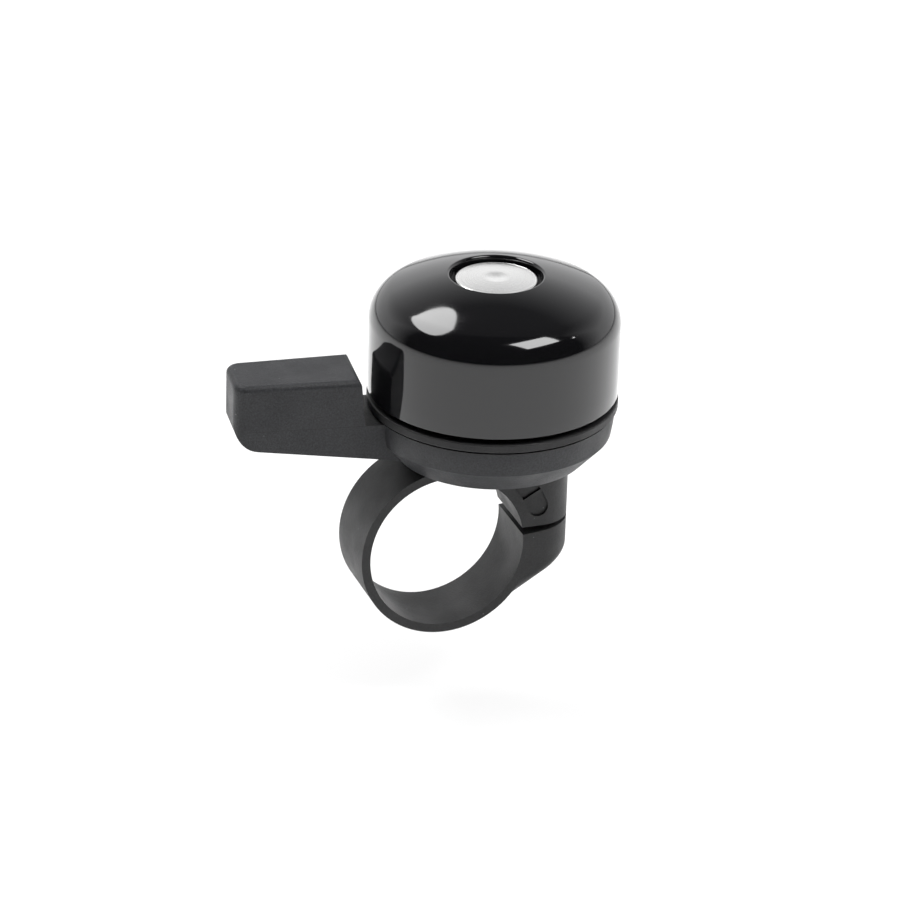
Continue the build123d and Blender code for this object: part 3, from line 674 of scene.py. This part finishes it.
def soft_box(name, turn, height, distance, size, watts, target, shape="RECTANGLE"):
    """An area light at a turn from -Y towards +X and a height, in degrees, facing the object."""
    turn, height = math.radians(turn), math.radians(height)
    away = Vector((math.sin(turn) * math.cos(height), -math.cos(turn) * math.cos(height), math.sin(height)))
    data = bpy.data.lights.new(name, "AREA")
    data.shape = shape
    data.size, data.size_y = size
    data.energy = watts
    lamp = new_object(name, data)
    lamp.matrix_world = (Matrix.Translation(target + away * distance)
                         @ away.to_track_quat("Z", "Y").to_matrix().to_4x4())
    return lamp


class BELL_OT_stage(bpy.types.Operator):
    """Set the floor, lights, world and camera"""
    bl_idname = "bell.stage"
    bl_label = "Stage"

    def execute(self, context):
        s = context.scene.bell
        scene = context.scene
        half = s.floor_size / 2
        mesh = bpy.data.meshes.new("Floor")
        corners = [(-half, -half, s.floor_z), (half, -half, s.floor_z),
                   (half, half, s.floor_z), (-half, half, s.floor_z)]
        mesh.from_pydata(corners, [], [(0, 1, 2, 3)])
        floor = new_object("Floor", mesh)
        mesh.materials.append(floor_material())
        azimuth, elevation, roll = s.view_azimuth, s.view_elevation, s.view_roll
        back = Vector((math.sin(azimuth) * math.cos(elevation), -math.cos(azimuth) * math.cos(elevation),
                       math.sin(elevation)))
        right = Vector((math.cos(azimuth), math.sin(azimuth), 0.0))
        up = back.cross(right)
        target = right * s.view_right + up * s.view_up
        side = right * math.cos(roll) + up * math.sin(roll)
        head = up * math.cos(roll) - right * math.sin(roll)
        eye = target + back * s.view_distance
        data = bpy.data.cameras.new("Camera")
        data.lens = s.lens
        data.sensor_width = SENSOR_WIDTH
        camera = new_object("Camera", data)
        camera.matrix_world = Matrix((
            (side.x, head.x, back.x, eye.x), (side.y, head.y, back.y, eye.y),
            (side.z, head.z, back.z, eye.z), (0, 0, 0, 1)))
        scene.camera = camera
        studio_world((math.sin(azimuth), -math.cos(azimuth), 0.15))
        fill = soft_box("Top_light", turn=0.0, height=88.0, distance=1.6, size=(1.6, 1.6),
                        watts=16.0, target=target)
        fill.visible_glossy = False
        soft_box("Left_box", turn=-140.0, height=58.0, distance=0.9, size=(0.78, 0.36),
                 watts=6.2, target=target, shape="ELLIPSE")
        soft_box("Right_box", turn=36.0, height=57.0, distance=0.9, size=(0.46, 0.34),
                 watts=5.6, target=target)
        soft_box("Right_lamp", turn=70.0, height=38.0, distance=0.9, size=(0.03, 0.03),
                 watts=0.05, target=target, shape="ELLIPSE")
        scene.view_settings.view_transform = "Standard"
        return {"FINISHED"}


class BELL_PT_panel(bpy.types.Panel):
    """Buttons for each piece and the bell's settings"""
    bl_idname = "BELL_PT_panel"
    bl_label = "Bicycle bell"
    bl_space_type = "VIEW_3D"
    bl_region_type = "UI"
    bl_category = "Bell"

    def draw(self, context):
        for operator in OPERATORS:
            self.layout.operator(operator.bl_idname)
        for key in BellSettings.__annotations__:
            self.layout.prop(context.scene.bell, key)


OPERATORS = (BELL_OT_clamp, BELL_OT_lever, BELL_OT_tray, BELL_OT_dome, BELL_OT_screw,
             BELL_OT_small_parts, BELL_OT_stage)
MATERIALS = {}


def register():
    for kind in (BellSettings, *OPERATORS, BELL_PT_panel):
        bpy.utils.register_class(kind)
    bpy.types.Scene.bell = bpy.props.PointerProperty(type=BellSettings)


def unregister():
    del bpy.types.Scene.bell
    for kind in reversed((BellSettings, *OPERATORS, BELL_PT_panel)):
        bpy.utils.unregister_class(kind)


def main():
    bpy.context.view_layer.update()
    register()
    settings = bpy.context.scene.bell
    MATERIALS.update(make_materials(axis_of("bell_dome")[0], settings.parting_shade_height))
    bpy.ops.bell.clamp()
    bpy.ops.bell.lever()
    bpy.ops.bell.tray()
    bpy.ops.bell.dome()
    bpy.ops.bell.screw()
    bpy.ops.bell.small_parts()
    bpy.ops.bell.stage()


if __name__ == "__main__":
    main()
